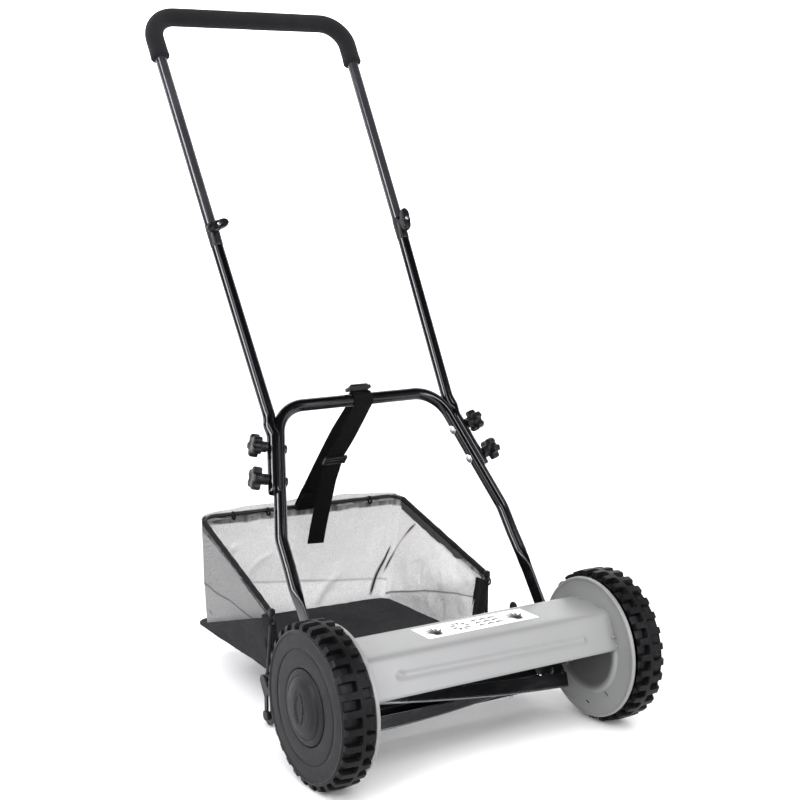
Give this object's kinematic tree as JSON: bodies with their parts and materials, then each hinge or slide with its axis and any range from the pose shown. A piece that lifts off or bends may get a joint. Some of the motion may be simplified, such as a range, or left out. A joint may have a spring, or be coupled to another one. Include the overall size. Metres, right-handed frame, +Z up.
{
  "type": "reel mower",
  "caption": "Hand-pushed reel mower with side wheels, a helical cutting reel, a rear roller, a folding loop handle and a strapped mesh grass bag.",
  "frame": {"origin": "on the ground, under the middle of the whole mower", "axes": "+Z up, -Y the way the mower is pushed, +X along the wheel axles"},
  "size_m": [0.5052, 0.7328, 0.9796],
  "materials": {
    "silver_paint": "satin",
    "black_paint": "gloss",
    "wheel_plastic": "matte",
    "knob_plastic": "satin",
    "zinc_steel": "bright zinc",
    "blade_steel": "oiled",
    "foam": "matte",
    "webbing": "woven",
    "mesh_fabric": "woven mesh",
    "floor_fabric": "woven",
    "label": "satin"
  },
  "bodies": {
    "chassis": {"right_side_plate": "silver_paint", "left_side_plate": "silver_paint", "right_wheel_axle": "zinc_steel", "left_wheel_axle": "zinc_steel", "right_wheel_clip": "zinc_steel", "left_wheel_clip": "zinc_steel", "right_reel_bearing": "zinc_steel", "left_reel_bearing": "zinc_steel", "right_bracket_bolt": "zinc_steel", "left_bracket_bolt": "zinc_steel", "right_handle_pivot_bolt": "zinc_steel", "left_handle_pivot_bolt": "zinc_steel", "right_roller_bracket": "black_paint", "left_roller_bracket": "black_paint", "deck_cover": "silver_paint", "deck_label": "label"},
    "right_wheel": {"right_wheel": "wheel_plastic", "right_hub_cap": "wheel_plastic"},
    "left_wheel": {"left_wheel": "wheel_plastic", "left_hub_cap": "wheel_plastic"},
    "right_pinion": {"right_drive_pinion": "zinc_steel"},
    "left_pinion": {"left_drive_pinion": "zinc_steel"},
    "reel": {"reel_shaft": "zinc_steel", "reel_spider_1": "blade_steel", "reel_spider_2": "blade_steel", "reel_spider_3": "blade_steel", "reel_blade_1": "blade_steel", "reel_blade_2": "blade_steel", "reel_blade_3": "blade_steel", "reel_blade_4": "blade_steel", "reel_blade_5": "blade_steel", "right_drive_pawl": "zinc_steel", "left_drive_pawl": "zinc_steel"},
    "bedknife": {"bedknife": "blade_steel", "bedknife_carrier": "black_paint", "bedknife_screw_1": "zinc_steel", "bedknife_screw_2": "zinc_steel"},
    "roller_axle": {"roller_shaft": "zinc_steel"},
    "roller": {"rear_roller": "wheel_plastic"},
    "handle": {"lower_handle": "black_paint", "right_middle_tube": "black_paint", "left_middle_tube": "black_paint", "right_upper_carriage_bolt": "zinc_steel", "left_upper_carriage_bolt": "zinc_steel", "right_lower_carriage_bolt": "zinc_steel", "left_lower_carriage_bolt": "zinc_steel", "upper_handle": "black_paint", "foam_grip": "foam"},
    "strap": {"strap": "webbing", "strap_slider": "knob_plastic", "strap_buckle": "knob_plastic"},
    "bag": {"bag_frame": "black_paint", "bag_mesh": "mesh_fabric", "bag_floor": "floor_fabric"},
    "left_upper_knob": {"left_upper_star_knob": "knob_plastic"},
    "right_upper_knob": {"right_upper_star_knob": "knob_plastic"},
    "left_lower_knob": {"left_lower_star_knob": "knob_plastic"},
    "right_lower_knob": {"right_lower_star_knob": "knob_plastic"},
    "left_wing_knob": {"left_wing_knob": "knob_plastic"},
    "right_wing_knob": {"right_wing_knob": "knob_plastic"}
  },
  "joints": [
    {"name": "left_wheel_spin", "type": "hinge", "parent": "chassis", "child": "left_wheel", "pos_m": [-0.215, -0.263, 0.104], "axis": [1, 0, 0], "continuous": true},
    {"name": "left_pinion_spin", "type": "hinge", "parent": "chassis", "child": "left_pinion", "pos_m": [-0.215, -0.217, 0.082], "axis": [1, 0, 0], "continuous": true},
    {"name": "right_wheel_spin", "type": "hinge", "parent": "chassis", "child": "right_wheel", "pos_m": [0.215, -0.263, 0.104], "axis": [1, 0, 0], "continuous": true},
    {"name": "right_pinion_spin", "type": "hinge", "parent": "chassis", "child": "right_pinion", "pos_m": [0.215, -0.217, 0.082], "axis": [1, 0, 0], "continuous": true},
    {"name": "reel_spin", "type": "hinge", "parent": "chassis", "child": "reel", "pos_m": [0, -0.217, 0.082], "axis": [1, 0, 0], "continuous": true},
    {"name": "bedknife_adjust", "type": "hinge", "parent": "chassis", "child": "bedknife", "pos_m": [0, -0.197, 0.054], "axis": [1, 0, 0], "range_deg": [0, 3]},
    {"name": "roller_height", "type": "slide", "parent": "chassis", "child": "roller_axle", "axis": [0, 0, 1], "range_m": [0, 0.024]},
    {"name": "roller_spin", "type": "hinge", "parent": "roller_axle", "child": "roller", "pos_m": [0, -0.058, 0.017], "axis": [1, 0, 0], "continuous": true},
    {"name": "handle_tilt", "type": "hinge", "parent": "chassis", "child": "handle", "pos_m": [0, -0.1901, 0.119], "axis": [1, 0, 0], "range_deg": [-8, 12]},
    {"name": "bag_tilt", "type": "hinge", "parent": "chassis", "child": "bag", "pos_m": [0, -0.041, 0.0605], "axis": [1, 0, 0], "range_deg": [-11, 16]},
    {"name": "strap_swing", "type": "hinge", "parent": "handle", "child": "strap", "pos_m": [0, 0.0185, 0.4225], "axis": [1, 0, 0], "range_deg": [-8, 6]},
    {"name": "left_upper_knob_turn", "type": "hinge", "parent": "handle", "child": "left_upper_knob", "pos_m": [-0.14519, -0.01383, 0.372], "axis": [-0.967, 0.1373, 0.2145], "range_deg": [0, 360]},
    {"name": "right_upper_knob_turn", "type": "hinge", "parent": "handle", "child": "right_upper_knob", "pos_m": [0.14519, -0.01383, 0.372], "axis": [0.967, 0.1373, 0.2145], "range_deg": [0, 360]},
    {"name": "left_lower_knob_turn", "type": "hinge", "parent": "handle", "child": "left_lower_knob", "pos_m": [-0.15742, -0.03885, 0.33291], "axis": [-0.967, 0.1373, 0.2145], "range_deg": [0, 360]},
    {"name": "right_lower_knob_turn", "type": "hinge", "parent": "handle", "child": "right_lower_knob", "pos_m": [0.15742, -0.03885, 0.33291], "axis": [0.967, 0.1373, 0.2145], "range_deg": [0, 360]},
    {"name": "left_wing_knob_turn", "type": "hinge", "parent": "handle", "child": "left_wing_knob", "pos_m": [-0.15541, 0.16062, 0.65621], "axis": [0, -0.8505, 0.526], "range_deg": [0, 360]},
    {"name": "right_wing_knob_turn", "type": "hinge", "parent": "handle", "child": "right_wing_knob", "pos_m": [0.15541, 0.16062, 0.65621], "axis": [0, -0.8505, 0.526], "range_deg": [0, 360]}
  ],
  "couplings": [
    {"joint": "left_pinion_spin", "follows": "left_wheel_spin", "ratio": 5.25},
    {"joint": "right_pinion_spin", "follows": "right_wheel_spin", "ratio": 5.25},
    {"joint": "reel_spin", "follows": "left_wheel_spin", "ratio": 5.25},
    {"joint": "bag_tilt", "follows": "handle_tilt", "ratio": 1.27},
    {"joint": "strap_swing", "follows": "handle_tilt", "ratio": -0.55}
  ]
}
